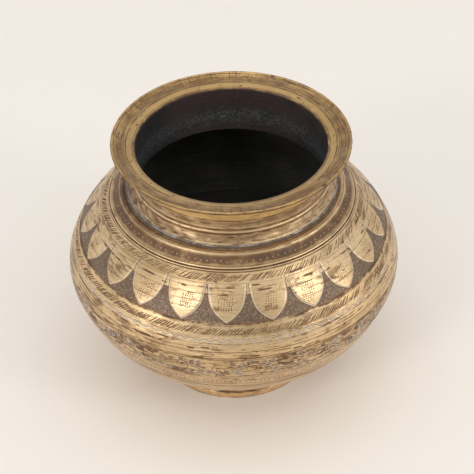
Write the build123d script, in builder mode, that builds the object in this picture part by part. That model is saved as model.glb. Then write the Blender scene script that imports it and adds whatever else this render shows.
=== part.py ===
from build123d import *
from math import cos, radians, sin, sqrt
import os

os.makedirs("parts", exist_ok=True)

# Lota: a round-bellied brass water pot. Cast and lathe-turned pieces are pushed together
# in rebated joints and brazed. Millimetres, +Z up, origin at the middle of the foot's
# resting face. Every profile is drawn as (radius, height) and revolved about Z.

# Driving dimensions
wall = 2.0

# Body: four arcs, each tangent to the next, measured on the outside
belly_r = 82.5
belly_z = 64.7
belly_arc_r = 24.3
shoulder_arc_r = 71.3
shoulder_arc_from = 21.2
lower_arc_r = 84.3
lower_arc_from = -18.4
bowl_arc_r = 61.4
bowl_arc_from = -27.3

# Shoulder, from the neck seat outwards: ridge, dished band, two raised rings
seat_z = 109.0
seat_flat_r = 51.6
ridge_in = (52.4, 108.4)
ridge_crown = (53.8, 108.6)
dish_top = (54.9, 107.6)
dish_bottom = (59.0, 103.9)
dish_depth = 0.4
ring_crowns = [(59.8, 103.5), (60.6, 102.6)]
ring_valley = (59.9, 102.9)
shoulder_end_z = 101.9

# Neck and mouth
bore_r = 46.0
neck_spigot_r = 48.0
neck_spigot_depth = 2.4
neck_r = 47.8
neck_bead_z = 115.2
neck_bead = 1.0
neck_bead_out = 0.6
collar_r = 50.7
collar_edge = 1.3
collar_top_z = 113.6
collar_dip = 0.5
rim_joint_z = 122.0
rim_spigot_r = 47.2
rim_spigot_length = 5.0
rim_sleeve_r = 48.6
rim_flare_z = 125.0
rim_edge_r = 57.8
rim_top_z = 134.3
rim_bead = 0.8
rim_inner_z = 131.4
rim_lip = 0.9
rim_groove = ((50.6, 132.35), (56.0, 133.75))
rim_groove_depth = 0.4
rim_under = (54.8, 131.6)

# Seam between body shell and bowl: a lap that starts where the bowl's arc starts
seam_lap = 3.0
seam_groove = 0.8

# Foot
foot_seat_z = 14.0
foot_bore_r = 36.0
foot_r = 40.6
foot_edge = 0.5
foot_band_z = 3.2
foot_waist = (38.0, 9.0)
foot_top_r = 39.0

braze = 0.7


def on_arc(centre, radius, degrees):
    """Point on a profile arc, by its angle above the horizontal."""
    turn = radians(degrees)
    return (centre[0] + radius * cos(turn), centre[1] + radius * sin(turn))


def radius_at(centre, radius, z):
    """Distance from the axis to a profile arc at height z."""
    return centre[0] + sqrt(radius**2 - (z - centre[1]) ** 2)


def height_below(centre, radius, r):
    """Height of the underside of a profile arc at distance r from the axis."""
    return centre[1] - sqrt(radius**2 - (r - centre[0]) ** 2)


def sagged(start, end, depth):
    """Middle point of an arc that dips by depth below the straight line."""
    run, rise = end[0] - start[0], end[1] - start[1]
    length = sqrt(run**2 + rise**2)
    middle = ((start[0] + end[0]) / 2, (start[1] + end[1]) / 2)
    return (middle[0] + depth * rise / length, middle[1] - depth * run / length)


# Arc centres follow from tangency
belly_c = (belly_r - belly_arc_r, belly_z)
shoulder_c = on_arc(belly_c, belly_arc_r - shoulder_arc_r, shoulder_arc_from)
lower_c = on_arc(belly_c, belly_arc_r - lower_arc_r, lower_arc_from)
bowl_c = on_arc(lower_c, lower_arc_r - bowl_arc_r, bowl_arc_from)


def finish(part, name):
    part.label = name
    export_step(part, f"parts/{name}.step")


# Mouth rim: a heavy ring, cast and turned. Its lower sleeve slides over the neck's spigot.
rim_bead_c = (rim_edge_r - rim_bead, rim_top_z - rim_bead)
flare_rise = rim_under[1] - rim_flare_z
flare_run = rim_under[0] - rim_sleeve_r
flare_r = (flare_run**2 + flare_rise**2) / (2 * flare_run)
flare_c = (rim_sleeve_r + flare_r, rim_flare_z)
neck_top_z = rim_joint_z + rim_spigot_length

with BuildPart() as mouth_rim:
    with BuildSketch(Plane.XZ):
        with BuildLine():
            Polyline((rim_sleeve_r, rim_joint_z), (rim_spigot_r, rim_joint_z), (rim_spigot_r, neck_top_z))
            Polyline((rim_spigot_r, neck_top_z), (bore_r, neck_top_z), (bore_r, rim_inner_z - rim_lip))
            RadiusArc((bore_r, rim_inner_z - rim_lip), (bore_r + rim_lip, rim_inner_z), rim_lip)
            Line((bore_r + rim_lip, rim_inner_z), rim_groove[0])
            ThreePointArc(rim_groove[0], sagged(*rim_groove, rim_groove_depth), rim_groove[1])
            Line(rim_groove[1], on_arc(rim_bead_c, rim_bead, 135))
            ThreePointArc(
                on_arc(rim_bead_c, rim_bead, 135),
                on_arc(rim_bead_c, rim_bead, 20),
                on_arc(rim_bead_c, rim_bead, -90),
            )
            Line(on_arc(rim_bead_c, rim_bead, -90), rim_under)
            ThreePointArc(rim_under, on_arc(flare_c, flare_r, 150), (rim_sleeve_r, rim_flare_z))
            Line((rim_sleeve_r, rim_flare_z), (rim_sleeve_r, rim_joint_z))
        make_face()
    revolve(axis=Axis.Z)
finish(mouth_rim.part, "mouth_rim")

# Neck: a turned tube with a bead and a flared collar. It rests on the shoulder by the
# collar, and its spigot goes down through the hole in the body.
neck_foot_z = seat_z - neck_spigot_depth
collar_out = (collar_r - braze, seat_z + collar_edge)
collar_in = (neck_r, collar_top_z)
collar_hollow = sagged(collar_in, collar_out, collar_dip)
bead_half = sqrt(neck_bead**2 - (neck_bead - neck_bead_out) ** 2)
bead_low = (neck_r, neck_bead_z - bead_half)
bead_high = (neck_r, neck_bead_z + bead_half)

with BuildPart() as neck:
    with BuildSketch(Plane.XZ):
        with BuildLine():
            Polyline((bore_r, neck_foot_z), (bore_r, neck_top_z), (rim_spigot_r, neck_top_z))
            Polyline((rim_spigot_r, neck_top_z), (rim_spigot_r, rim_joint_z), (neck_r, rim_joint_z))
            Line((neck_r, rim_joint_z), bead_high)
            ThreePointArc(bead_high, (neck_r + neck_bead_out, neck_bead_z), bead_low)
            Line(bead_low, collar_in)
            ThreePointArc(collar_in, collar_hollow, collar_out)
            Line(collar_out, (collar_r, collar_out[1] - braze))
            Polyline((collar_r, collar_out[1] - braze), (collar_r, seat_z), (neck_spigot_r, seat_z))
            Polyline((neck_spigot_r, seat_z), (neck_spigot_r, neck_foot_z), (bore_r, neck_foot_z))
        make_face()
    revolve(axis=Axis.Z)
finish(neck.part, "neck")


# Body shell: the belly from the neck seat down to the seam, cast about two millimetres
# thick. A ridge, a dished band and a double ring are turned on its shoulder.
shell_hole_z = neck_foot_z
inner_shoulder_r = shoulder_arc_r - wall
inner_belly_r = belly_arc_r - wall
inner_lower_r = lower_arc_r - wall
shoulder_end = (radius_at(shoulder_c, shoulder_arc_r, shoulder_end_z), shoulder_end_z)
inner_top = (radius_at(shoulder_c, inner_shoulder_r, shell_hole_z), shell_hole_z)
lap_top_z = on_arc(lower_c, lower_arc_r - wall, bowl_arc_from)[1]
seam_z = lap_top_z - seam_lap
seam_out_r = radius_at(bowl_c, bowl_arc_r, seam_z)
seam_mid = (radius_at(bowl_c, bowl_arc_r - wall / 2, seam_z), seam_z)
lap_top_mid = (radius_at(lower_c, lower_arc_r - wall / 2, lap_top_z), lap_top_z)
lap_top_in = on_arc(lower_c, inner_lower_r, bowl_arc_from)
groove_top_z = seam_z + seam_groove / 2
groove_low_z = seam_z - seam_groove / 2
groove_top = (radius_at(bowl_c, bowl_arc_r, groove_top_z), groove_top_z)
groove_low = (radius_at(bowl_c, bowl_arc_r, groove_low_z), groove_low_z)
groove_root = (seam_out_r - seam_groove / 2, seam_z)
bowl_arc_top = on_arc(bowl_c, bowl_arc_r, bowl_arc_from)
shell_end_z = (bowl_arc_top[1] + groove_top_z) / 2
shell_end_mid = (radius_at(bowl_c, bowl_arc_r, shell_end_z), shell_end_z)
lower_mid_angle = (lower_arc_from + bowl_arc_from) / 2
shoulder_mid_angle = shoulder_arc_from + 12

with BuildPart() as body_shell:
    with BuildSketch(Plane.XZ):
        with BuildLine():
            # Outside, from the neck seat down
            Line((neck_spigot_r, seat_z), (seat_flat_r, seat_z))
            Line((seat_flat_r, seat_z), ridge_in)
            ThreePointArc(ridge_in, ridge_crown, dish_top)
            ThreePointArc(dish_top, sagged(dish_top, dish_bottom, dish_depth), dish_bottom)
            ThreePointArc(dish_bottom, ring_crowns[0], ring_valley)
            ThreePointArc(ring_valley, ring_crowns[1], shoulder_end)
            ThreePointArc(
                shoulder_end,
                on_arc(shoulder_c, shoulder_arc_r, shoulder_mid_angle),
                on_arc(shoulder_c, shoulder_arc_r, shoulder_arc_from),
            )
            ThreePointArc(
                on_arc(belly_c, belly_arc_r, shoulder_arc_from),
                on_arc(belly_c, belly_arc_r, 0),
                on_arc(belly_c, belly_arc_r, lower_arc_from),
            )
            ThreePointArc(
                on_arc(lower_c, lower_arc_r, lower_arc_from),
                on_arc(lower_c, lower_arc_r, lower_mid_angle),
                bowl_arc_top,
            )
            ThreePointArc(bowl_arc_top, shell_end_mid, groove_top)
            # Seam: half the wall laps over the bowl
            Polyline(groove_top, groove_root, seam_mid, lap_top_mid, lap_top_in)
            # Inside, back up to the hole
            ThreePointArc(
                lap_top_in,
                on_arc(lower_c, inner_lower_r, lower_mid_angle),
                on_arc(lower_c, inner_lower_r, lower_arc_from),
            )
            ThreePointArc(
                on_arc(belly_c, inner_belly_r, lower_arc_from),
                on_arc(belly_c, inner_belly_r, 0),
                on_arc(belly_c, inner_belly_r, shoulder_arc_from),
            )
            ThreePointArc(
                on_arc(shoulder_c, inner_shoulder_r, shoulder_arc_from),
                on_arc(shoulder_c, inner_shoulder_r, shoulder_mid_angle),
                inner_top,
            )
            Polyline(inner_top, (neck_spigot_r, shell_hole_z), (neck_spigot_r, seat_z))
        make_face()
    revolve(axis=Axis.Z)
finish(body_shell.part, "body_shell")


# Bowl: the bottom of the pot. Its thin upper lip fits inside the body shell, and a step
# turned under it locates the foot ring. Its base is flat outside and inside.
inner_bowl_r = bowl_arc_r - wall
bowl_end = (radius_at(bowl_c, bowl_arc_r, foot_seat_z), foot_seat_z)
bowl_mid_z = (seam_z + foot_seat_z) / 2
bowl_mid = (radius_at(bowl_c, bowl_arc_r, bowl_mid_z), bowl_mid_z)
inner_bowl_mid = (radius_at(bowl_c, inner_bowl_r, bowl_mid_z), bowl_mid_z)
step_low = (foot_bore_r, height_below(bowl_c, bowl_arc_r, foot_bore_r))
base_edge = (bowl_c[0], bowl_c[1] - bowl_arc_r)
floor_edge = (bowl_c[0], bowl_c[1] - inner_bowl_r)
base_mid_r = (base_edge[0] + foot_bore_r) / 2
base_mid = (base_mid_r, height_below(bowl_c, bowl_arc_r, base_mid_r))

with BuildPart() as bowl:
    with BuildSketch(Plane.XZ):
        with BuildLine():
            # Outside, from the seam down to the base
            Polyline(lap_top_in, lap_top_mid, seam_mid, groove_root, groove_low)
            ThreePointArc(groove_low, bowl_mid, bowl_end)
            Polyline(bowl_end, (foot_bore_r, foot_seat_z), step_low)
            ThreePointArc(step_low, base_mid, base_edge)
            Polyline(base_edge, (0, base_edge[1]), (0, floor_edge[1]), floor_edge)
            # Inside, back up to the seam
            ThreePointArc(floor_edge, inner_bowl_mid, lap_top_in)
        make_face()
    revolve(axis=Axis.Z)
finish(bowl.part, "bowl")


# Foot ring: a cast ring with a rounded band at the bottom and a waist under the bowl.
waist_start = (foot_r, foot_band_z)

with BuildPart() as foot_ring:
    with BuildSketch(Plane.XZ):
        with BuildLine():
            Polyline((foot_r - foot_edge, 0), (foot_bore_r + foot_edge, 0), (foot_bore_r, foot_edge))
            Line((foot_bore_r, foot_edge), (foot_bore_r, foot_seat_z))
            Line((foot_bore_r, foot_seat_z), (foot_top_r, foot_seat_z))
            ThreePointArc((foot_top_r, foot_seat_z), foot_waist, waist_start)
            Line(waist_start, (foot_r, foot_edge))
            RadiusArc((foot_r, foot_edge), (foot_r - foot_edge, 0), foot_edge)
        make_face()
    revolve(axis=Axis.Z)
finish(foot_ring.part, "foot_ring")


# Brazing spelter: a narrow ring of it shows at each of the four joints.
def corner_fillet(name, corner, along, up):
    """Ring of spelter in the corner between a level face and an upright face."""
    with BuildPart() as ring:
        with BuildSketch(Plane.XZ):
            with BuildLine():
                Polyline(corner, (corner[0] + along, corner[1]), (corner[0], corner[1] + up), corner)
            make_face()
        revolve(axis=Axis.Z)
    finish(ring.part, name)


corner_fillet("rim_braze", (neck_r, rim_joint_z), braze, -braze)
corner_fillet("neck_braze", (collar_r, seat_z), braze, braze)

with BuildPart() as seam_braze:
    with BuildSketch(Plane.XZ):
        with BuildLine():
            Polyline(groove_top, groove_root, groove_low, groove_top)
        make_face()
    revolve(axis=Axis.Z)
finish(seam_braze.part, "seam_braze")

foot_braze_top_r = foot_top_r + braze / 2
foot_braze_top = (foot_braze_top_r, height_below(bowl_c, bowl_arc_r, foot_braze_top_r))
foot_braze_mid_r = (bowl_end[0] + foot_braze_top_r) / 2
foot_braze_mid = (foot_braze_mid_r, height_below(bowl_c, bowl_arc_r, foot_braze_mid_r))

with BuildPart() as foot_braze:
    with BuildSketch(Plane.XZ):
        with BuildLine():
            Polyline(bowl_end, (foot_top_r, foot_seat_z), foot_braze_top)
            ThreePointArc(foot_braze_top, foot_braze_mid, bowl_end)
        make_face()
    revolve(axis=Axis.Z)
finish(foot_braze.part, "foot_braze")
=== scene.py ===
from math import acos, asin, atan2, ceil, cos, degrees, hypot, pi, radians, sin, sqrt

import bpy
import numpy as np
from mathutils import Matrix, Vector


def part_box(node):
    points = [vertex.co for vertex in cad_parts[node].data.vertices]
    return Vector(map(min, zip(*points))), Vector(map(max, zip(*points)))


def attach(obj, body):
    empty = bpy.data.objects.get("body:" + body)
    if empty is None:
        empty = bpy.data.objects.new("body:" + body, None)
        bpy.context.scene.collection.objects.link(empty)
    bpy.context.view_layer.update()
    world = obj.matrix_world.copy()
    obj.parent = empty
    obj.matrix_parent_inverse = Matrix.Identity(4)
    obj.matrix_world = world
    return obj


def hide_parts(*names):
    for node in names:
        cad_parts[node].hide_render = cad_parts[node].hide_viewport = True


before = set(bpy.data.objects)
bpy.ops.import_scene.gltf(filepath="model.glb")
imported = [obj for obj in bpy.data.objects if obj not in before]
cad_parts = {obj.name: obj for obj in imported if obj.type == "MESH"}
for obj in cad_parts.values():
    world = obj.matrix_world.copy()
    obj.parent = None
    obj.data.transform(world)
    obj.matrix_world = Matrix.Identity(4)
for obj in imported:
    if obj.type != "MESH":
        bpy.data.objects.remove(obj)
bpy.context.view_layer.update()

mm = 0.001


# ---------------------------------------------------------------------------------------
# Bowl: the bottom of the pot. Cast brass, two millimetres thick, turned inside and out. A
# thin lip at its top goes up inside the body shell, and the joint is brazed.

wall = 2.0 * mm
shell_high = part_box("body_shell")[1]
bowl_low, bowl_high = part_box("bowl")
foot_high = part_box("foot_ring")[1]
seam_low, seam_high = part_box("seam_braze")

belly_r = round(shell_high.x, 4)
belly_z = 64.7 * mm
belly_arc = 24.3 * mm
shoulder_arc = 71.3 * mm
lower_arc = 84.3 * mm
bowl_arc = 61.4 * mm
shoulder_turn = 21.2
lower_turn = -18.4
bowl_turn = -27.3


def polar(centre, radius, angle):
    """Point of a profile arc, by its angle in degrees above the horizontal."""
    return np.array([centre[0] + radius * cos(radians(angle)), centre[1] + radius * sin(radians(angle))])


belly_c = np.array([belly_r - belly_arc, belly_z])
shoulder_c = polar(belly_c, belly_arc - shoulder_arc, shoulder_turn)
lower_c = polar(belly_c, belly_arc - lower_arc, lower_turn)
bowl_c = polar(lower_c, lower_arc - bowl_arc, bowl_turn)


def arc(centre, radius, start, end, step):
    """Points along a profile arc between two angles, about one step apart."""
    count = max(2, int(ceil(abs(radians(end - start)) * radius / step)) + 1)
    return np.array([polar(centre, radius, angle) for angle in np.linspace(start, end, count)])


def angle_at(centre, radius, height):
    """Angle at which a profile arc passes a height."""
    return degrees(asin((height - centre[1]) / radius))


def joined(*runs):
    """One outline from runs that meet end to end, without the doubled points."""
    points = [runs[0]]
    for run in runs[1:]:
        points.append(run[1:] if np.allclose(points[-1][-1], run[0], atol=1e-7) else run)
    return np.concatenate(points)


def straight(step, *points):
    """Straight runs through a row of points, about one step apart."""
    runs = []
    for start, end in zip(points, points[1:]):
        start, end = np.array(start), np.array(end)
        count = max(2, int(ceil(np.linalg.norm(end - start) / step)) + 1)
        runs.append(start + (end - start) * np.linspace(0, 1, count)[:, None])
    return joined(*runs)


def distance_along(outline):
    """Distance along an outline at each of its points."""
    steps = np.linalg.norm(np.diff(outline, axis=0), axis=1)
    return np.concatenate([[0], np.cumsum(steps)])


def angles_round(columns, half_turn=pi):
    """Angles round the pot, from the back, with 0 at the front."""
    return np.linspace(-half_turn, half_turn, columns, endpoint=False)


def turn(name, outline, columns, depth, start=0.0, **marks):
    """Brass ring turned from a closed outline of (radius, height) points, clockwise with the
    axis on the left. depth is what is cut away at each point along its normal, and marks
    are the surface's named values, from 0 to 1, that its finish reads."""
    open_ended = outline[0][0] == 0
    body = outline[1:-1] if open_ended else outline
    rows = len(body)
    before, after = np.roll(outline, 1, 0), np.roll(outline, -1, 0)
    along = (after - before)[1:-1] if open_ended else after - before
    normal = np.stack([-along[:, 1], along[:, 0]], 1) / np.linalg.norm(along, axis=1)[:, None]
    angle = angles_round(columns)
    radius = body[:, 0, None] - depth * normal[:, 0, None]
    height = body[:, 1, None] - depth * normal[:, 1, None]
    points = np.stack([radius * np.sin(angle), -radius * np.cos(angle), height + 0 * angle], -1)
    points = points.reshape(-1, 3)
    grid = np.arange(rows * columns).reshape(rows, columns)
    rings = grid if open_ended else np.vstack([grid, grid[:1]])
    beside = np.roll(rings, -1, 1)
    quads = np.stack([rings[:-1], rings[1:], beside[1:], beside[:-1]], -1).reshape(-1, 4)
    corners = [quads.ravel()]
    sizes = [np.full(len(quads), 4)]
    if open_ended:
        first, last = len(points), len(points) + 1
        points = np.vstack([points, [0, 0, outline[0][1]], [0, 0, outline[-1][1]]])
        fan = np.stack([np.full(columns, first), grid[0], beside[0]], -1)
        close = np.stack([grid[-1], np.full(columns, last), beside[-1]], -1)
        corners += [fan.ravel(), close.ravel()]
        sizes += [np.full(2 * columns, 3)]
    corners, sizes = np.concatenate(corners), np.concatenate(sizes)
    mesh = bpy.data.meshes.new(name)
    mesh.vertices.add(len(points))
    mesh.vertices.foreach_set("co", points.ravel())
    mesh.loops.add(len(corners))
    mesh.loops.foreach_set("vertex_index", corners)
    mesh.polygons.add(len(sizes))
    mesh.polygons.foreach_set("loop_start", np.concatenate([[0], np.cumsum(sizes)[:-1]]))
    mesh.update(calc_edges=True)
    marks["run"] = (start + distance_along(body))[:, None]
    for mark, value in marks.items():
        held = np.zeros(len(points))
        held[: rows * columns] = np.broadcast_to(value, (rows, columns)).ravel()
        if open_ended:
            held[first], held[last] = held[0], held[rows * columns - 1]
        mesh.attributes.new(mark, "FLOAT", "POINT").data.foreach_set("value", held)
    mesh.polygons.foreach_set("use_smooth", np.ones(len(sizes), bool))
    mesh.set_sharp_from_angle(angle=radians(60))
    piece = bpy.data.objects.new(name, mesh)
    bpy.context.collection.objects.link(piece)
    return piece


def ripple(rows_at, columns, size, amount, seed):
    """Soft hand-made unevenness over a turned surface, never standing proud."""
    hand = np.random.default_rng(seed)
    angle = angles_round(columns)
    rise = np.zeros((len(rows_at), columns))
    for _ in range(14):
        waves = hand.integers(1, max(2, int(2 * pi * belly_r / size)))
        slope = hand.normal() * 2 * pi / size
        shift = hand.uniform(0, 2 * pi)
        rise += np.sin(waves * angle[None, :] + slope * np.asarray(rows_at)[:, None] + shift)
    rise -= rise.max()
    return -rise / -rise.min() * amount


class Finish:
    """A material's nodes, with short ways to add to them. Colours are linear."""

    def __init__(self, name):
        self.material = bpy.data.materials.new(name)
        self.material.use_nodes = True
        self.shader = self.material.node_tree.nodes["Principled BSDF"]
        self.place = self.add("TexCoord")["Object"]

    def wire(self, value, socket):
        if isinstance(value, bpy.types.NodeSocket):
            self.material.node_tree.links.new(value, socket)
        else:
            socket.default_value = value

    def add(self, kind, inputs=(), **settings):
        """Adds a node, with its inputs by place or name, and gives its outputs."""
        node = self.material.node_tree.nodes.new("ShaderNode" + kind)
        for name, setting in settings.items():
            setattr(node, name, setting)
        for socket, value in dict(inputs).items():
            self.wire(value, node.inputs[socket])
        return node.outputs

    def surface(self, colour, metallic, rough):
        for name, value in (("Base Color", colour), ("Metallic", metallic), ("Roughness", rough)):
            self.wire(value, self.shader.inputs[name])

    def bumps(self, height, strength, depth):
        bump = self.add("Bump", {"Height": height, "Strength": strength, "Distance": depth})
        self.wire(bump[0], self.shader.inputs["Normal"])

    def mix(self, amount, a, b):
        a, b = [c if isinstance(c, bpy.types.NodeSocket) else (*c, 1) for c in (a, b)]
        return self.add("Mix", {0: amount, 6: a, 7: b}, data_type="RGBA")[2]

    def sums(self, kind, a, b=0.0, clamp=False):
        return self.add("Math", {0: a, 1: b}, operation=kind, use_clamp=clamp)[0]

    def times(self, *values):
        product = values[0]
        for value in values[1:]:
            product = self.sums("MULTIPLY", product, value)
        return product

    def ramp(self, value, low, high, to_low=0.0, to_high=1.0):
        inputs = {"Value": value, 1: low, 2: high, 3: to_low, 4: to_high}
        return self.add("MapRange", inputs, interpolation_type="SMOOTHSTEP")[0]

    def coat(self, under, over, value, low, high, share=1.0):
        """Lays one colour over another where a value rises from low to high."""
        amount = self.ramp(value, low, high)
        return self.mix(amount if share == 1 else self.times(amount, share), under, over)

    def mark(self, name):
        """One of the named values that the surface carries."""
        return self.add("Attribute", attribute_name=name)["Fac"]

    def vector(self, kind, *values):
        return self.add("VectorMath", enumerate(values), operation=kind)[0]

    def patterned(self, vector, scale, detail, rough, turned=(0, 0, 0)):
        place = self.add("Mapping", {"Vector": vector, "Rotation": turned, "Scale": scale})[0]
        inputs = {"Vector": place, "Scale": 1.0, "Detail": detail, "Roughness": rough}
        return self.add("TexNoise", inputs)["Fac"]

    def noise(self, size, detail=4.0, stretch=(1, 1, 1), turned=(0, 0, 0), rough=0.55):
        """Noise whose marks are about this size, in metres, before it is stretched."""
        scale = [1 / (size * share) for share in stretch]
        return self.patterned(self.place, scale, detail, rough, turned)

    def streaks(self, length, thick, detail=3.0, rough=0.55):
        """Noise drawn out round the pot, as the lathe and the polishing cloth leave it."""
        outward = self.vector("NORMALIZE", self.vector("MULTIPLY", self.place, (1, 1, 0)))
        down = self.add("CombineXYZ", {"Z": self.mark("run")})[0]
        round_scale = belly_r / length
        scale = (round_scale, round_scale, 1 / thick)
        return self.patterned(self.vector("ADD", outward, down), scale, detail, rough)


# Colours of the metal and of what lies on it
polished = (0.78, 0.57, 0.325)
rubbed = (0.64, 0.45, 0.235)
tarnish = (0.34, 0.205, 0.095)
brown = (0.175, 0.086, 0.032)
grime = (0.050, 0.029, 0.019)
residue = (0.65, 0.58, 0.475)
matted = (0.108, 0.068, 0.045)
flecked = (0.27, 0.185, 0.12)
soot = (0.020, 0.017, 0.014)
rust = (0.055, 0.027, 0.021)
verdigris = (0.110, 0.135, 0.130)
deep_inside = ((0.055, 0.052, 0.042), (0.110, 0.102, 0.080))
deep_base = ((0.030, 0.029, 0.024), (0.045, 0.040, 0.032))


def brass(name, bright=polished, dull=rubbed, stain=0.45, lines=0.7, gloss=0.28, inner=(soot, rust)):
    """Old hand-finished brass: bright where it is rubbed and where a sheen is painted on, brown
    where it is not, with dirt in every cut, painted shade beside cuts and under edges, lathe
    lines round it, fine scratches, and a dark crust inside the pot."""
    finish = Finish(name)
    mix, coat, sums, times, ramp = finish.mix, finish.coat, finish.sums, finish.times, finish.ramp
    mark, noise, streaks = finish.mark, finish.noise, finish.streaks

    cloud = noise(26 * mm, 4)
    blotch = noise(5 * mm, 5, rough=0.65)
    grain = noise(1.0 * mm, 3)
    fleck = noise(0.7 * mm, 2, rough=0.7)
    lathe = streaks(220 * mm, 0.5 * mm)
    smudge = streaks(30 * mm, 4.0 * mm, 6, rough=0.7)
    combed = streaks(60 * mm, 0.42 * mm, 2)
    blot = streaks(9 * mm, 2.6 * mm, 5, rough=0.65)
    dash = streaks(12 * mm, 0.45 * mm)
    patch = streaks(45 * mm, 9 * mm)
    scratch_a = ramp(noise(1.0 * mm, 2, stretch=(0.16, 7, 7), turned=(0.3, 0.5, 0.7)), 0.66, 0.72)
    scratch_b = ramp(noise(1.0 * mm, 2, stretch=(6, 0.18, 6), turned=(0.9, 0.2, 1.3)), 0.66, 0.72)
    scratches = sums("MAXIMUM", scratch_a, scratch_b)

    colour = coat(bright, dull, cloud, 0.35, 0.65)
    colour = coat(colour, tarnish, lathe, 0.45, 0.70, 0.30)
    colour = coat(colour, tarnish, smudge, 0.47, 0.66, stain)
    stained = times(ramp(combed, 0.42, 0.60, 0.30, 1.0), ramp(blot, 0.54, 0.64), lines)
    broken = times(ramp(dash, 0.55, 0.63), ramp(patch, 0.48, 0.60), lines)
    dashes = sums("MAXIMUM", broken, stained)
    colour = mix(dashes, colour, brown)
    colour = coat(colour, tarnish, grain, 0.52, 0.70, 0.35)
    # Brightened where the brass is rubbed, and where a sheen is painted on
    rub = times(mark("rub"), ramp(blotch, 0.30, 0.55, 0.95, 0.60))
    colour = mix(rub, colour, bright)

    ground = mark("ground")
    ground_colour = coat(matted, flecked, fleck, 0.50, 0.60)
    ground_colour = coat(ground_colour, rubbed, fleck, 0.64, 0.70, 0.6)
    colour = mix(times(ground, 0.94), colour, ground_colour)
    # Darkened by dirt, and by painted shade beside cuts and under edges
    dirt = times(mark("dirt"), ramp(blotch, 0.25, 0.60, 0.55, 1.0))
    colour = coat(colour, brown, dirt, 0.0, 0.6)
    colour = coat(colour, grime, dirt, 0.45, 1.0)
    pale = times(mark("pale"), ramp(blotch, 0.30, 0.60, 0.40, 0.95))
    colour = mix(pale, colour, residue)
    green = times(mark("green"), ramp(streaks(3 * mm, 0.5 * mm, 5, rough=0.75), 0.45, 0.62))
    inside = mark("inside")
    crust = coat(*inner, cloud, 0.40, 0.62)
    crust = coat(crust, soot, combed, 0.40, 0.62, 0.6)
    crust = coat(crust, verdigris, fleck, 0.60, 0.68, 0.35)
    colour = mix(inside, colour, crust)
    colour = mix(green, colour, verdigris)

    unrubbed = sums("SUBTRACT", dashes, rub, clamp=True)
    cover = times(inside, 0.9)
    for layer, share in ((dirt, 0.75), (pale, 0.7), (ground, 0.45), (unrubbed, 0.5), (green, 0.9)):
        cover = sums("MAXIMUM", cover, times(layer, share))
    rough = sums("ADD", gloss, times(ramp(cloud, 0.3, 0.7), 0.08))
    rough = sums("ADD", rough, times(ramp(smudge, 0.45, 0.68), 0.12))
    rough = sums("ADD", rough, times(scratches, 0.06))
    rough = sums("ADD", rough, times(cover, 0.35), clamp=True)
    finish.surface(colour, sums("SUBTRACT", 1.0, cover, clamp=True), rough)
    finish.shader.inputs["Coat Weight"].default_value = 0.2
    finish.shader.inputs["Coat Roughness"].default_value = 0.32

    height = times(lathe, 0.6)
    height = sums("SUBTRACT", height, times(scratches, 0.35))
    height = sums("SUBTRACT", height, times(dashes, 0.3))
    height = sums("ADD", height, times(grain, 0.4))
    finish.bumps(height, 0.45, 0.07 * mm)
    return finish.material


def fitted(piece, node, material):
    """Gives a piece its finish and puts it in the place of its node."""
    piece.data.materials.append(material)
    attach(piece, "root")
    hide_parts(node)


seam_z = (seam_low.z + seam_high.z) / 2
groove_half = (seam_high.z - seam_low.z) / 2
lap_top_z = round(bowl_high.z, 6)
foot_seat_z = round(foot_high.z, 5)
foot_bore_r = 36.0 * mm
base_r = bowl_c[0]


def on_lower(radius, height):
    return polar(lower_c, radius, angle_at(lower_c, radius, height))


def on_bowl(radius, height):
    return polar(bowl_c, radius, angle_at(bowl_c, radius, height))


groove_low = on_bowl(bowl_arc, seam_z - groove_half)
groove_root = on_bowl(bowl_arc, seam_z) - (groove_half, 0)
lap_foot = on_bowl(bowl_arc - wall / 2, seam_z)
lap_top_mid = on_lower(lower_arc - wall / 2, lap_top_z)
seat_turn = angle_at(bowl_c, bowl_arc, foot_seat_z)
foot_step = polar(bowl_c, bowl_arc, seat_turn)
step_turn = -degrees(acos((foot_bore_r - base_r) / bowl_arc))

outside = joined(
    straight(mm, lap_top_mid, lap_foot, groove_root, groove_low),
    arc(bowl_c, bowl_arc, angle_at(bowl_c, bowl_arc, groove_low[1]), seat_turn, 0.35 * mm),
    straight(mm, foot_step, (foot_bore_r, foot_seat_z), polar(bowl_c, bowl_arc, step_turn)),
    arc(bowl_c, bowl_arc, step_turn, -90, 1.5 * mm),
    straight(3 * mm, polar(bowl_c, bowl_arc, -90), (0, bowl_low.z)),
)
inside = joined(
    straight(3 * mm, (0, bowl_low.z + wall), polar(bowl_c, bowl_arc - wall, -90)),
    arc(bowl_c, bowl_arc - wall, -90, bowl_turn, 2 * mm),
)
bowl_outline = np.concatenate([inside, outside])
bowl_z = bowl_outline[1:-1, 1, None]
lining = np.zeros((len(bowl_z), 1))
lining[: len(inside) - 1] = 1.0
# Painted shade: the bowl's outside darkens towards its underside, from just above the foot seat down
base_shade = np.clip((foot_seat_z + 5 * mm - bowl_z) / (6 * mm), 0, 1) * (1 - lining)
bowl_columns = 900
bowl_rows = distance_along(bowl_outline[1:-1])
bowl_cut = ripple(bowl_rows, bowl_columns, 55 * mm, 0.10 * mm, 21) * (1 - lining)
below_seam = np.clip((seam_z - groove_half - bowl_z) / (3 * mm), 0, 1)
above_foot = np.clip((bowl_z - foot_seat_z) / (3 * mm), 0, 1)
bowl_cut = bowl_cut * below_seam * above_foot
bowl = turn("bowl", bowl_outline, bowl_columns, bowl_cut, inside=lining, dirt=0.8 * base_shade)
fitted(bowl, "bowl", brass("bowl_brass", stain=0.55, lines=0.6, gloss=0.34, inner=deep_base))


# ---------------------------------------------------------------------------------------
# Body shell: the belly and shoulder, one casting two millimetres thick. The lathe cut a
# ridge, a dished band and two raised rings round its top. Below them it was chased by hand
# with small steel punches: hatched bands, a row of hanging petals, a wavy line and a vine.

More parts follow.
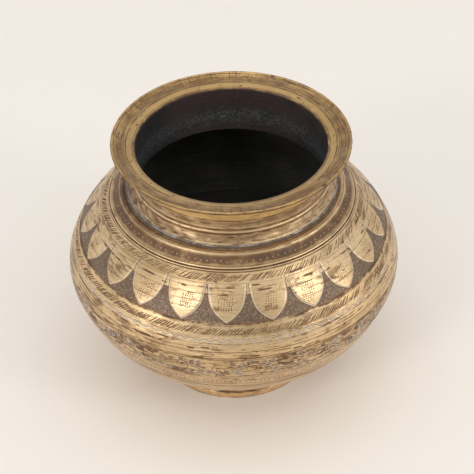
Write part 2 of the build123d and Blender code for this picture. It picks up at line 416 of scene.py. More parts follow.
seat_z = round(shell_high.z, 5)
neck_low, neck_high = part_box("neck")
hole_r = 48.0 * mm
hole_z = round(neck_low.z, 5)
seat_flat_r = 51.6 * mm
ridge_in = (52.4 * mm, 108.4 * mm)
ridge_crown = (53.8 * mm, 108.6 * mm)
dish_top = (54.9 * mm, 107.6 * mm)
dish_bottom = (59.0 * mm, 103.9 * mm)
dish_depth = 0.4 * mm
ring_crowns = ((59.8 * mm, 103.5 * mm), (60.6 * mm, 102.6 * mm))
ring_valley = (59.9 * mm, 102.9 * mm)
shoulder_end_z = 101.9 * mm


def bent(start, through, end, step):
    """Points of the arc through three points."""
    (ax, ay), (bx, by), (cx, cy) = start, through, end
    twist = 2 * (ax * (by - cy) + bx * (cy - ay) + cx * (ay - by))
    a2, b2, c2 = ax**2 + ay**2, bx**2 + by**2, cx**2 + cy**2
    centre = (
        (a2 * (by - cy) + b2 * (cy - ay) + c2 * (ay - by)) / twist,
        (a2 * (cx - bx) + b2 * (ax - cx) + c2 * (bx - ax)) / twist,
    )
    radius = hypot(ax - centre[0], ay - centre[1])
    turns = [degrees(atan2(y - centre[1], x - centre[0])) for x, y in (start, through, end)]
    turns = np.degrees(np.unwrap(np.radians(turns)))
    return arc(centre, radius, turns[0], turns[2], step)


def sagged(start, end, depth):
    """Middle of an arc that dips by depth to the right of the way from start to end."""
    across, rise = end[0] - start[0], end[1] - start[1]
    share = depth / hypot(across, rise)
    return ((start[0] + end[0]) / 2 + share * rise, (start[1] + end[1]) / 2 - share * across)


# The outside is drawn from the neck seat down to the seam, finely enough to be chased
fine = 0.3 * mm
shoulder_start = angle_at(shoulder_c, shoulder_arc, shoulder_end_z)
shoulder_end = polar(shoulder_c, shoulder_arc, shoulder_start)
groove_top = on_bowl(bowl_arc, seam_z + groove_half)
skin = joined(
    straight(mm, (hole_r, seat_z), (seat_flat_r, seat_z)),
    straight(0.25 * mm, (seat_flat_r, seat_z), ridge_in),
    bent(ridge_in, ridge_crown, dish_top, 0.25 * mm),
    bent(dish_top, sagged(dish_top, dish_bottom, dish_depth), dish_bottom, 0.25 * mm),
    bent(dish_bottom, ring_crowns[0], ring_valley, 0.15 * mm),
    bent(ring_valley, ring_crowns[1], shoulder_end, 0.15 * mm),
    arc(shoulder_c, shoulder_arc, shoulder_start, shoulder_turn, fine),
    arc(belly_c, belly_arc, shoulder_turn, lower_turn, fine * 1.1),
    arc(lower_c, lower_arc, lower_turn, bowl_turn, fine),
    arc(bowl_c, bowl_arc, bowl_turn, angle_at(bowl_c, bowl_arc, groove_top[1]), fine),
)
run = distance_along(skin)

# Chased marks are gathered in a flat map of the skin: down it by distance from the neck
# seat, and round it by angle from the front
cell = 0.1 * mm
map_rows = int(run[-1] / cell) + 2
map_columns = 5000
map_run = np.arange(map_rows) * cell
map_r = np.interp(map_run, run, skin[:, 0])
map_z = np.interp(map_run, run, skin[:, 1])
map_angle = np.arange(map_columns) / map_columns * 360 - 180
map_pitch = 2 * pi * map_r / map_columns
depth_map, dirt_map, pale_map, ground_map = np.zeros((4, map_rows, map_columns))
chance = np.random.default_rng(11)
round_mm = degrees(mm / belly_r) / mm


def way_down(outline, run, first=0, last=None):
    """Gives the distance along an outline of any height, on the part where it goes down."""
    heights, distances = outline[first:last, 1], run[first:last]
    return lambda z: np.interp(-np.asarray(z), -heights, distances)


down = way_down(skin, run, int(np.argmin(np.abs(skin[:, 1] - 107.5 * mm))))


def band(at, middle, half, power=2):
    """Strength of a mark in a band: 1 along its middle and fading on both sides."""
    return np.exp(-(((at - middle) / half) ** power))[:, None]


def darken(amount):
    """Adds dirt, and painted shade, to the map of the skin, where there is not more already."""
    np.maximum(dirt_map, amount, out=dirt_map)


def chisel(tracks, width, depth, dirt=0.0, pale=0.0, taper=False):
    """Cuts a V along each track of (angle, height) points, its width and depth given in
    millimetres. taper thins it at both ends."""
    width, depth = width * mm, depth * mm
    places, shares = [], []
    for track in tracks:
        track = np.asarray(track, float)
        at = np.stack([track[:, 0], down(track[:, 1])], 1)
        around = np.radians(np.diff(at[:, 0])) * np.interp(at[:-1, 1], map_run, map_r)
        steps = np.concatenate([[0], np.cumsum(np.hypot(around, np.diff(at[:, 1])))])
        length = steps[-1]
        fill = np.linspace(0, length, max(2, int(length / (0.9 * cell)) + 1))
        places.append(np.stack([np.interp(fill, steps, side) for side in at.T], 1))
        share = np.ones(len(fill))
        if taper:
            share = np.minimum(1, 0.25 + 4 * np.minimum(fill, length - fill) / max(length, 1e-9))
        shares.append(share)
    places, shares = np.concatenate(places), np.concatenate(shares)
    row = places[:, 1] / cell
    column = (places[:, 0] + 180) / 360 * map_columns
    pitch = np.interp(places[:, 1], map_run, map_pitch)
    reach = int(ceil(width / 2 / cell)) + 1
    for i in range(-reach, reach + 1):
        for j in range(-reach, reach + 1):
            at_row = np.rint(row).astype(int) + i
            at_column = np.rint(column).astype(int) + j
            gap = np.hypot((at_row - row) * cell, (at_column - column) * pitch)
            bite = np.clip(1 - gap / (width / 2), 0, 1) * shares
            spot = (at_row.clip(0, map_rows - 1), at_column % map_columns)
            filled = np.minimum(1, bite * 1.8)
            layers = (depth_map, bite * depth), (dirt_map, filled * dirt), (pale_map, filled * pale)
            for field, amount in layers:
                if amount.any():
                    np.maximum.at(field, spot, amount)


def punch(spots, width, depth, dirt=0.0, pale=0.0):
    """Round dimples at (angle, height) spots."""
    chisel([[spot, spot] for spot in spots], width, depth, dirt, pale)


def hoops(heights, width, depth, dirt, wander=0.0):
    """Lines right round the pot. Like all the sizes here, the heights are in millimetres."""
    angle = np.arange(-180, 181.0)
    sway = wander * mm * (np.sin(np.radians(angle * 3)) + 0.6 * np.sin(np.radians(angle * 7 + 40)))
    chisel([np.stack([angle, z * mm + sway], 1) for z in heights], width, depth, dirt)


def hatch(low, high, count, lean, width, depth, seed):
    """A band of slanting chisel strokes, cut by eye, some deeper than others. From bottom
    to top each one leans over by this many degrees."""
    hand = np.random.default_rng(seed)
    firm, light = [], []
    for k in range(count):
        angle = 360 * k / count - 180 + hand.normal() * 0.07
        tilt = lean * (1 + hand.normal() * 0.06)
        bottom = low * mm + hand.uniform(0, 0.5) * mm
        top = high * mm - hand.uniform(0, 0.5) * mm
        stroke = [(angle - tilt / 2, bottom), (angle + tilt / 2, top)]
        (firm if hand.uniform() < 0.85 else light).append(stroke)
    chisel(firm, width, depth, dirt=0.9, taper=True)
    chisel(light, 0.7 * width, 0.5 * depth, dirt=0.5, taper=True)


def uneven(waves, count, seed):
    """Slow comings and goings round the pot, between -1 and 1."""
    hand = np.random.default_rng(seed)
    total = np.zeros(map_columns)
    for _ in range(count):
        total += np.sin(np.radians(map_angle * hand.integers(1, waves)) + hand.uniform(0, 2 * pi))
    return total / np.abs(total).max()


# Punched dots along the dished band
dot_count = 118
dot_z = 105.25
dots = []
for k in range(dot_count):
    dots.append((360 * k / dot_count + chance.normal() * 0.3, (dot_z + chance.normal() * 0.1) * mm))
punch(dots, 0.8, 0.22, pale=0.75)

# Upper and lower hatched bands, with their border lines
hatch(98.6, 101.5, count=290, lean=3.7, width=0.46, depth=0.20, seed=3)
hatch(78.3, 82.0, count=330, lean=3.1, width=0.52, depth=0.24, seed=4)
hoops([98.3], 0.3, 0.08, 0.5)
hoops([82.0], 0.3, 0.07, 0.35)
hoops([78.0], 0.3, 0.07, 0.35, 0.03)
hoops([83.7], 0.45, 0.14, 0.6)

# Faint lines scribed round first, to lay the petals out
scribed_z = [96.8, 94.6, 91.9, 89.2]
hoops(scribed_z, 0.26, 0.05, 0.5, 0.05)

# Hanging petals: each outline is one chisel line, nearly straight at the top and closing
# to a point
petal_count = 22
petal_first = -3.1
petal_half = 7.45
petal_top = 98.0 * mm
petal_tip = 84.1 * mm
petals = []
for k in range(petal_count):
    middle = petal_first + 360 * k / petal_count + chance.normal() * 0.35
    half = petal_half + chance.normal() * 0.18
    fullness = 2.35 + abs(chance.normal()) * 0.35
    tip = petal_tip + chance.normal() * 0.2 * mm
    petals.append(((middle + 180) % 360 - 180, half, fullness, tip))


def petal_edge(half, fullness, tip, z):
    """How far a petal reaches to each side at a height, in degrees."""
    fall = np.clip((petal_top - z) / (petal_top - tip), 0, 1)
    return half * (1 - fall**fullness) - 0.25 * np.sin(pi * np.clip(fall * 1.6, 0, 1))


# Beside each outline runs a thin dark line, a painted shadow
outlines, shadows = [], []
shadow_out = 0.38
for middle, half, fullness, tip in petals:
    z = petal_top + (tip - petal_top) * np.linspace(0, 1, 40) ** 0.8
    edge = petal_edge(half, fullness, tip, z)
    for side in (-1, 1):
        outlines.append(np.stack([middle + side * edge, z], 1))
        shadows.append(np.stack([middle + side * (edge + shadow_out), z], 1))
chisel(shadows, 0.3, 0.06, dirt=0.85)
chisel(outlines, 0.62, 0.24, pale=0.9)

# The ground between the petals is beaten down and matted with a small round punch
ground_top = 94.6 * mm
gap = np.full((map_rows, map_columns), 99.0)
for middle, half, fullness, tip in petals:
    edge = petal_edge(half, fullness, tip, map_z)[:, None]
    off = np.abs((map_angle[None, :] - middle + 180) % 360 - 180) - edge
    np.minimum(gap, np.where(map_z[:, None] > tip, off, 99), out=gap)
gap_mm = np.radians(gap) * map_r[:, None] / mm
in_band = (map_z < ground_top) & (map_z > 83.9 * mm)
ground = np.clip((gap_mm - 0.25) / 0.3, 0, 1) * in_band[:, None]
ground_map = np.maximum(ground_map, ground)
depth_map = np.maximum(depth_map, ground * 0.24 * mm)
blows = 26000
spots_z = chance.uniform(84 * mm, ground_top, blows)
spots_angle = chance.uniform(-180, 180, blows)
spot_rows = (down(spots_z) / cell).astype(int)
spot_columns = ((spots_angle + 180) / 360 * map_columns).astype(int) % map_columns
on_ground = ground[spot_rows, spot_columns] > 0.6
spots = np.stack([spots_angle, spots_z], 1)[on_ground]
beaten = depth_map.copy()
depth_map[:] = 0
punch(spots, 0.55, 0.13)
depth_map += beaten

# A patch of fine dots in the middle of each petal
patch_z = 91.3
patches = []
for middle, half, fullness, tip in petals:
    wide, tall = int(chance.integers(5, 7)), int(chance.integers(7, 9))
    shift = chance.normal() * 0.5
    for i in range(wide):
        for j in range(tall):
            across = (i - (wide - 1) / 2) * 0.98 + 0.10 * (j - 3)
            angle = middle + shift + across + chance.normal() * 0.09
            z = patch_z + (j - (tall - 1) / 2) * 0.82 + chance.normal() * 0.08
            patches.append((angle, z * mm))
punch(patches, 0.64, 0.20, dirt=1.0)

# Double wavy line below the lower hatching, cut freehand
angle = np.arange(-180, 180.1, 0.25)
swing = 0.75 + 0.25 * np.sin(np.radians(angle * 4 + 20)) + 0.15 * np.sin(np.radians(angle * 11))
beat = sum(size * np.sin(np.radians(angle * times)) for size, times in ((25, 6), (35, 17), (20, 41)))
wave_z = 76.35
wave = (wave_z + swing * np.sin(np.radians(angle * 92 + beat))) * mm
for side in (0.42, -0.42):
    chisel([np.stack([angle, wave + side * mm], 1)], 0.60, 0.20, pale=0.8)
chisel([np.stack([angle, wave], 1)], 0.36, 0.05, dirt=0.85)

# Lathe lines on the plain belt
hoops([74.8], 0.4, 0.08, 0.55, 0.04)
hoops([70.9], 0.5, 0.10, 0.75, 0.04)
hoops([67.6], 0.5, 0.10, 0.75, 0.05)
hoops([72.6, 70.1, 66.9], 0.28, 0.05, 0.4, 0.06)

# Vine round the lower belly: a beaded stem that waves, curled tendrils, leaves and rosettes
# between border lines, crowded together on a darkened ground
vine_z = 60.3 * mm
vine_rise = 3.3 * mm
vine_waves = 15
vine_top, vine_low = 66.6, 54.0


def leaf(angle, z, heading, length, width):
    """Outline, midrib and side veins of a pointed leaf that starts at (angle, z)."""
    t = np.linspace(0, 1, 14)
    ahead, aside = cos(radians(heading)), sin(radians(heading))

    def place(forward, side):
        across = (forward * ahead - side * aside) * round_mm
        return np.stack([angle + across, z + forward * aside + side * ahead], 1)

    edge = width / 2 * np.sin(pi * t**0.8)
    lines = [place(t * length, edge), place(t * length, -edge), place(t * length * 0.85, 0 * t)]
    veins = []
    for share in (0.22, 0.38, 0.54, 0.70):
        reach = width / 2 * sin(pi * share**0.8) * 0.8
        for side in (-1, 1):
            ends = np.array([share * length, share * length + 0.5 * reach])
            veins.append(place(ends, np.array([0, side * reach])))
    return lines, veins


def curled(angle, z, radius, turned_by):
    """Points of a curl or circle about (angle, z)."""
    return np.stack([angle + radius * np.cos(turned_by) * round_mm, z + radius * np.sin(turned_by)], 1)


def stem_z(angle):
    """Height of the waving stem."""
    unevenness = 0.9 + 0.1 * np.sin(np.radians(angle * 3))
    return vine_z + vine_rise * np.sin(np.radians(angle * vine_waves)) * unevenness


stems, beads, leaves, veins, eyes = [], [], [], [], []
angle = np.arange(-180, 180.1, 0.3)
for side in (-0.75, 0.75):
    stems.append(np.stack([angle, stem_z(angle) + side * mm], 1))
bead_count = 420
for k in range(bead_count):
    at = -180 + 360 * k / bead_count
    beads.append((at, stem_z(at)))
for k in range(2 * vine_waves):
    crest = -180 + (k + 0.5) * 180 / vine_waves + chance.normal() * 0.4
    side = 1 if k % 2 == 0 else -1
    way = chance.choice([-1, 1])
    t = np.linspace(0, 1, 50)
    radius = (4.1 - 3.2 * t) * mm * (1 + chance.normal() * 0.08)
    turned_by = np.radians(90 * side) + way * t * radians(chance.uniform(420, 640))
    centre_z = vine_z - side * 1.1 * mm
    stems.append(curled(crest, centre_z, radius, turned_by))
    eyes.append((crest, centre_z))
    for reach, tilt in ((5.8, 56), (5.2, 124), (3.6, 90), (4.6, 15), (4.6, 165), (4.0, -30), (4.0, 210)):
        heading = -side * (tilt + chance.normal() * 12)
        root = crest + chance.normal() * 0.5 + 5.0 * cos(radians(tilt))
        root_z = vine_z - side * (1.0 if tilt in (56, 124) else 3.4) * mm
        length = (reach + chance.normal() * 0.5) * mm
        lines, ribs = leaf(root, root_z, heading, length, 2.9 * mm)
        leaves += lines
        veins += ribs
rosettes = []
rosette_count = 24
for k in range(rosette_count):
    middle = -173 + 360 * k / rosette_count + chance.normal() * 1.5
    z = vine_z + chance.choice([-4.4, 4.4]) * mm
    turned_by = np.linspace(0, 2 * pi, 24)
    for radius in (0.6 * mm, 1.45 * mm):
        rosettes.append(curled(middle, z, radius, turned_by))


def inside_band(tracks):
    """Tracks cut off at the vine's border lines."""
    kept = []
    for track in tracks:
        track = np.asarray(track, float)
        within = (track[:, 1] < (vine_top - 0.2) * mm) & (track[:, 1] > (vine_low + 0.2) * mm)
        for piece in np.split(np.arange(len(track)), np.where(~within)[0]):
            piece = piece[within[piece]]
            if len(piece) > 1:
                kept.append(track[piece])
    return kept


chisel(inside_band(stems), 0.45, 0.20, dirt=0.9)
chisel(inside_band(rosettes), 0.5, 0.2, pale=0.6)
punch(beads, 0.85, 0.16, pale=1.0)
chisel(inside_band(leaves), 0.5, 0.18, pale=0.8)
chisel(inside_band(veins), 0.4, 0.14, dirt=0.9)
punch(eyes, 1.0, 0.2, dirt=0.9)
hoops([vine_top], 0.5, 0.14, 0.7)
hoops([vine_low], 0.5, 0.14, 0.7, 0.05)
hoops([vine_low - 0.8], 0.35, 0.08, 0.5, 0.05)


def spread(field, tall, wide):
    """Softens a map of the skin over this many cells down and round."""
    for axis, cells in ((0, tall), (1, wide)):
        total = np.zeros_like(field)
        for shift in range(-cells, cells + 1, 2):
            total += np.roll(field, shift, axis)
        field = total / (cells + 1)
        field = (field + np.roll(field, 1, axis)) / 2
    return field


def patches_of(tall, wide, rows=map_rows, columns=map_columns):
    """Soft random patches of about this many cells, with a spread of 1."""
    field = spread(spread(chance.normal(size=(rows, columns)), tall, wide), tall, wide)
    return field / field.std()


# Old dirt is left between the chased lines, in small patches
in_vine = ((map_z < (vine_top - 0.3) * mm) & (map_z > (vine_low + 0.3) * mm))[:, None]
mottle = patches_of(3, 7)
drawn = patches_of(3, 22)
drift = patches_of(24, 50)
kept_dirt = np.clip(0.32 + 0.40 * mottle + 0.25 * drawn + 0.25 * drift, 0, 1)
between = np.clip((0.40 - spread(pale_map, 4, 4)) / 0.15, 0, 1) * in_vine * kept_dirt
darken(between * 0.7)
depth_map = np.maximum(depth_map, between * 0.10 * mm)
pale_map = np.where(in_vine, pale_map * np.clip(0.75 + 0.25 * drift, 0.2, 1), pale_map)

# Low border of narrow upright leaves
blades = []
blade_count = 72
for k in range(blade_count):
    middle = -180 + 360 * k / blade_count + chance.normal() * 0.2
    rise = np.linspace(0, 1, 14)
    for side in (-1, 1):
        edge = middle + side * 1.7 * np.sin(pi * rise**0.7)
        blades.append(np.stack([edge, (46.2 + 5.6 * rise) * mm], 1))
    blades.append([(middle, 46.8 * mm), (middle, 50.6 * mm)])
chisel(blades, 0.5, 0.14, dirt=0.6, taper=True)
hoops([52.6], 0.45, 0.12, 0.55)
hoops([45.6], 0.45, 0.12, 0.55, 0.05)

# Nicks, short scratches and pin pits of long use
chased_low, chased_top = 44, 101
scar_count, pit_count = 420, 2600
scars = []
for _ in range(scar_count):
    a, z = chance.uniform(-180, 180), chance.uniform(chased_low, chased_top) * mm
    heading, length = chance.uniform(0, 2 * pi), chance.gamma(2, 1.0) * mm
    scars.append([(a, z), (a + cos(heading) * length * round_mm, z + sin(heading) * length)])
chisel(scars, 0.28, 0.06, dirt=0.5, taper=True)
pits = []
for _ in range(pit_count):
    pits.append((chance.uniform(-180, 180), chance.uniform(chased_low, chased_top) * mm))
punch(pits, 0.42, 0.07, dirt=0.6)

# Brown dirt lies in broken streaks, many of them along the lathe lines
lined_z = [*scribed_z, 74.8, 72.6, 70.9, 68.9, 67.6, 66.9]
for count, width, share in ((300, 0.35, 0.6), (190, 0.6, 0.7), (110, 1.1, 0.75)):
    smears = []
    for _ in range(count):
        a = chance.uniform(-180, 180)
        z = chance.choice([*lined_z, 0, 0, 0, 0, 0, 0])
        if z:
            z += chance.normal() * 0.25
        else:
            z = chance.choice([1, 1, 0]) * chance.uniform(chased_low, 83)
            z = z or chance.uniform(95, chased_top)
        end = a + chance.gamma(2, 2.2)
        smears.append([(a, z * mm), (end, z * mm + chance.normal() * 0.12 * mm)])
    chisel(smears, width, 0, dirt=share, taper=True)

# Thin brown dirt lies in small patches, most of it below the petals
petals_low, petals_high = 84 * mm, 98 * mm
stained_zones = (
    (map_z < 83 * mm, 0.25, 0.6, 0.45, 0.35),
    (map_z > petals_high, 0.0, 0.6, 0.6, 0.6),
    ((map_z > petals_low) & (map_z < petals_high), 0.3, 0.5, 0.5, 0.5),
)
for zone, fine_share, drawn_share, drift_share, least in stained_zones:
    stain = fine_share * mottle + drawn_share * drawn + drift_share * drift - least
    darken(np.clip(stain, 0, 1) * zone[:, None] * 0.4)

# Dirt has settled in a ragged line under the petals
ragged = np.clip(0.65 + 0.2 * mottle + 0.3 * drawn + 0.15 * drift, 0.25, 0.95)
darken(band(map_z, 83.6 * mm, 0.75 * mm) * ragged)

# Painted shade lies in a soft fringe beside deep cuts. The dished band is darkened, and
# dirt lies on the left of the ridge
left_turn = 12
painted_fringe_shade = 0.6 * np.clip(spread(depth_map, 4, 4) / (0.16 * mm) - 0.25, 0, 1) * (1 - pale_map)
darken(painted_fringe_shade * (1 - 0.85 * ground_map))
dish_darkening = 0.70 + 0.14 * uneven(9, 8, 31) + 0.10 * uneven(60, 20, 32)
darken(band(map_z, 105.7 * mm, 1.7 * mm, 4) * (map_r > 54 * mm)[:, None] * dish_darkening[None, :])
left_side = np.clip(-np.sin(np.radians(map_angle + left_turn)), 0, 1)[None, :]
left_ridge = band(map_z, 108.6 * mm, 1.3 * mm, 4) * left_side
darken(0.75 * left_ridge)
for z, share in ((103.0, 0.85), (102.0, 0.75), (108.3, 0.5)):
    darken(share * band(map_z, z * mm, 0.28 * mm))

# Handling has kept the petals and the raised edges bright. The bands on the belt and the
# lower belly are a painted sheen, standing in for the bright floor's reflection
on_petals = ((map_z > petal_tip) & (map_z < petal_top))[:, None]
rub_map = 0.40 * np.clip(-gap_mm / 1.2, 0, 1) * on_petals
raised = (108.55, 0.7, 0.85), (103.55, 0.28, 0.9), (102.55, 0.28, 0.9)
painted_floor_sheen = (71.5, 3.6, 0.45), (50.0, 6.0, 0.3)
for z, wide, share in raised + painted_floor_sheen:
    rub_map = np.maximum(rub_map, share * band(map_z, z * mm, wide * mm))
rub_map = rub_map * (1 - 0.9 * left_ridge)

# Verdigris creeps out from under the neck, most of all on the left
seat_zone = np.clip((53.2 * mm - map_r) / (1.2 * mm), 0, 1)[:, None]
green_round = 0.5 - 0.45 * np.sin(np.radians(map_angle + left_turn)) + 0.15 * uneven(24, 12, 33)
green_map = seat_zone * np.clip(green_round, 0, 1)[None, :]
darken(0.7 * seat_zone)


def on_skin(field, rows_run, columns):
    """Values of a map at the points of a turned piece."""
    row = np.clip(rows_run / cell, 0, map_rows - 1.001)
    column = np.arange(columns) / columns * map_columns
    i, j = row.astype(int), column.astype(int)
    a, b = (row - i)[:, None], (column - j)[None, :]
    j2 = (j + 1) % map_columns
    upper = field[i][:, j] * (1 - b) + field[i][:, j2] * b
    lower = field[i + 1][:, j] * (1 - b) + field[i + 1][:, j2] * b
    return upper * (1 - a) + lower * a


def inner_run(top_angle, low_angle):
    """The shell's inside between two heights, from low to high, by the angle on its arcs."""
    parts = []
    inner_arcs = (
        (lower_c, lower_arc, -90, lower_turn),
        (belly_c, belly_arc, lower_turn, shoulder_turn),
        (shoulder_c, shoulder_arc, shoulder_turn, 90),
    )
    for centre, radius, first, last in inner_arcs:
        low, top = max(low_angle, first), min(top_angle, last)
        if low < top:
            parts.append(arc(centre, radius - wall, low, top, 3 * mm))
    return joined(*parts)


shell_brass = brass("chased_brass", stain=0.50, gloss=0.28, inner=deep_inside)
band_split = 77.9 * mm
split_angle = angle_at(shoulder_c, shoulder_arc, band_split)
hole_angle = angle_at(shoulder_c, shoulder_arc - wall, hole_z)
shoulder_in = inner_run(hole_angle, shoulder_start)
petals_in = inner_run(shoulder_start, split_angle)
belly_in = inner_run(split_angle, bowl_turn)
lap = straight(mm, groove_top, groove_root, lap_foot, lap_top_mid, belly_in[0])
hole = straight(mm, shoulder_in[-1], (hole_r, hole_z), (hole_r, seat_z))
shell_parts = (
    ("body_shoulder", shoulder_end_z, 1200, [shoulder_in, hole]),
    ("body_petal_band", band_split, 1500, [petals_in]),
    ("body_belly", 0.0, 1500, [lap, belly_in]),
)
skin_maps = {"dirt": dirt_map, "pale": pale_map, "ground": ground_map, "green": green_map, "rub": rub_map}
start = 0
for name, low, columns, behind in shell_parts:
    stop = len(skin) - 1
    if low > 0:
        stop = int(np.where(skin[:, 1] < low + 1e-7)[0][0])
    face = skin[start : stop + 1]
    outline = joined(face, *behind)
    if np.allclose(outline[-1], outline[0], atol=1e-7):
        outline = outline[:-1]
    rows_run = run[start : stop + 1]
    in_from_edge = np.minimum(rows_run - rows_run[0], rows_run[-1] - rows_run)
    edge = np.minimum(1, in_from_edge / (0.25 * mm))[:, None]
    depth = on_skin(depth_map, rows_run, columns) * edge
    sag = ripple(rows_run, columns, 60 * mm, 0.12 * mm, 5)
    depth = depth + sag * np.clip(rows_run - rows_run[0], 0, 3 * mm)[:, None] / (3 * mm) * edge
    blank = np.zeros((len(outline) - len(face), columns))
    marks = {}
    for mark, field in skin_maps.items():
        marks[mark] = np.vstack([on_skin(field, rows_run, columns), blank])
    marks["inside"] = np.vstack([0 * depth, blank + 1])
    piece = turn(name, outline, columns, np.vstack([depth, blank]), start=run[start], **marks)
    fitted(piece, "body_shell", shell_brass)
    start = stop


# ---------------------------------------------------------------------------------------
# Foot ring: a cast ring with a rounded band at the bottom and a hollow waist above it. It
# fits in a step under the bowl and is brazed there. The band is worn bright by handling.
# The foot's brass and its band are also painted lighter, against the belly's shadow on it.

foot_r = round(foot_high.x, 4)
foot_edge = 0.5 * mm
foot_band_z = 3.2 * mm
foot_waist = (38.0 * mm, 9.0 * mm)
foot_top_r = 39.0 * mm
foot_columns = 900


def ring_cuts(rows_run, columns, cuts, seed):
    """Depth and darkening of lathe cuts and bands right round a ring. Each is (distance along
    the outline, width, depth, darkening), and its darkening has worn away in places. In the
    cuts the darkening is dirt; under the rim's edge it is painted shade."""
    hand = np.random.default_rng(seed)
    angle = angles_round(columns)
    depth = np.zeros((len(rows_run), columns))
    dirt = np.zeros((len(rows_run), columns))
    for at, width, deep, darkening in cuts:
        wear = np.zeros(columns)
        for _ in range(10):
            wear += np.sin(angle * hand.integers(2, 40) + hand.uniform(0, 2 * pi))
        shape = band(rows_run, at, width / 2)
        depth = np.maximum(depth, shape * deep)
        dirt = np.maximum(dirt, shape * darkening * np.clip(0.82 + 0.09 * wear, 0.3, 1))
    return depth, dirt


def placed(way, *cuts):
    """Cuts listed in millimetres as (height or radius, width, depth, darkening by dirt and
    painted shade), put at their distances along the outline."""
    return [(way(at * mm), width * mm, deep * mm, dirt) for at, width, deep, dirt in cuts]


def between_runs(rows_run, low, high, share):
    """The part of a ring between two distances along its outline, with soft edges."""
    edge = 0.35 * mm
    past_low, short_of_high = (rows_run - low) / edge + 0.5, (high - rows_run) / edge + 0.5
    return (np.clip(past_low, 0, 1) * np.clip(short_of_high, 0, 1) * share)[:, None]


def rubbed_bright(rows_run, *bands):
    """Where a ring is bright from rubbing and from painted sheen, in bands of (way, from, to, share) in
    millimetres.
    """
    rub = 0
    for way, low, high, share in bands:
        rub = np.maximum(rub, between_runs(rows_run, way(low * mm), way(high * mm), share))
    return rub


def knocks(rows_run, columns, low, high, count, size, deep, seed):
    """Small dents between two distances along a ring's outline."""
    hand = np.random.default_rng(seed)
    angle = angles_round(columns)
    depth = np.zeros((len(rows_run), columns))
    for _ in range(count):
        at, middle = hand.uniform(low, high), hand.uniform(-pi, pi)
        wide = size * hand.uniform(0.5, 1.5)
        across = np.angle(np.exp(1j * (angle - middle))) * belly_r * 0.7
        long = wide * hand.uniform(1, 3)
        spot = ((rows_run - at)[:, None] / wide) ** 2 + (across[None, :] / long) ** 2
        depth = np.maximum(depth, np.exp(-spot) * deep * hand.uniform(0.4, 1))
    return depth


foot_outline = joined(
    bent((foot_top_r, foot_seat_z), foot_waist, (foot_r, foot_band_z), 0.25 * mm),
    straight(0.25 * mm, (foot_r, foot_band_z), (foot_r, foot_edge)),
    arc((foot_r - foot_edge, foot_edge), foot_edge, 0, -90, 0.12 * mm),
    straight(0.4 * mm, (foot_r - foot_edge, 0), (foot_bore_r + foot_edge, 0), (foot_bore_r, foot_edge)),
    straight(mm, (foot_bore_r, foot_edge), (foot_bore_r, foot_seat_z), (foot_top_r, foot_seat_z))[:-1],
)
foot_run = distance_along(foot_outline)
foot_last = int(np.argmax(foot_outline[:, 1] <= 1e-9))
foot_face = foot_run[foot_last]
down_foot = way_down(foot_outline, foot_run, 0, foot_last + 1)
# The bands with no depth darken the foot without cutting it: above the band, over the waist and along the
# bottom edge
foot_cuts = placed(
    down_foot,
    (4.4, 2.4, 0, 0.8),
    (3.6, 0.7, 0.08, 0.95),
    (9.0, 7.0, 0, 0.65),
    (0.3, 0.8, 0, 0.75),
    (2.0, 0.25, 0.04, 0.4),
    (6.2, 0.3, 0.05, 0.6),
)
foot_cut, foot_dirt = ring_cuts(foot_run, foot_columns, foot_cuts, 41)
worn_low = knocks(foot_run, foot_columns, down_foot(2.8 * mm), foot_face, 60, 0.7 * mm, 0.12 * mm, 42)
foot_seen = (foot_run < foot_face)[:, None]
foot_cut = np.maximum(foot_cut, worn_low) * foot_seen * np.clip(foot_run / (0.5 * mm), 0, 1)[:, None]
foot_mottle = patches_of(1, 5, len(foot_run), foot_columns)
foot_dirt = np.maximum(foot_dirt, np.clip(0.20 * foot_mottle - 0.10, 0, 0.4))
foot_hidden = (foot_run > foot_face + (foot_r - foot_bore_r))[:, None]
foot_dirt = np.maximum(foot_dirt, 0.75 * foot_hidden)
foot_rub = rubbed_bright(foot_run, (down_foot, 3.0, 0.9, 1.0))
foot_ring = turn("foot_ring", foot_outline, foot_columns, foot_cut, dirt=foot_dirt, rub=foot_rub)
# Paler brass than the body's, painted light against the shadow of the belly over the foot
foot_brass = brass("foot_brass", (0.90, 0.64, 0.36), (0.74, 0.49, 0.25), stain=0.4, gloss=0.36)
fitted(foot_ring, "foot_ring", foot_brass)


# ---------------------------------------------------------------------------------------
# Neck: a turned tube with a bead round it and a flared collar at the bottom. It rests on
# the shoulder by the collar, its end goes down through the hole in the body, and a ring of
# braze runs round the corner outside.

bore_r = 46.0 * mm
neck_r = 47.8 * mm
neck_bead_z = 115.2 * mm
neck_bead = 1.0 * mm
neck_bead_out = 0.6 * mm
collar_r = round(neck_high.x, 5)
collar_edge = 1.3 * mm
collar_top_z = 113.6 * mm
collar_dip = 0.5 * mm
neck_top_z = round(neck_high.z, 5)
rim_low, rim_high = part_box("mouth_rim")
rim_joint_z = round(rim_low.z, 5)
rim_spigot_r = 47.2 * mm
fillet = 0.7 * mm
neck_columns = 1000

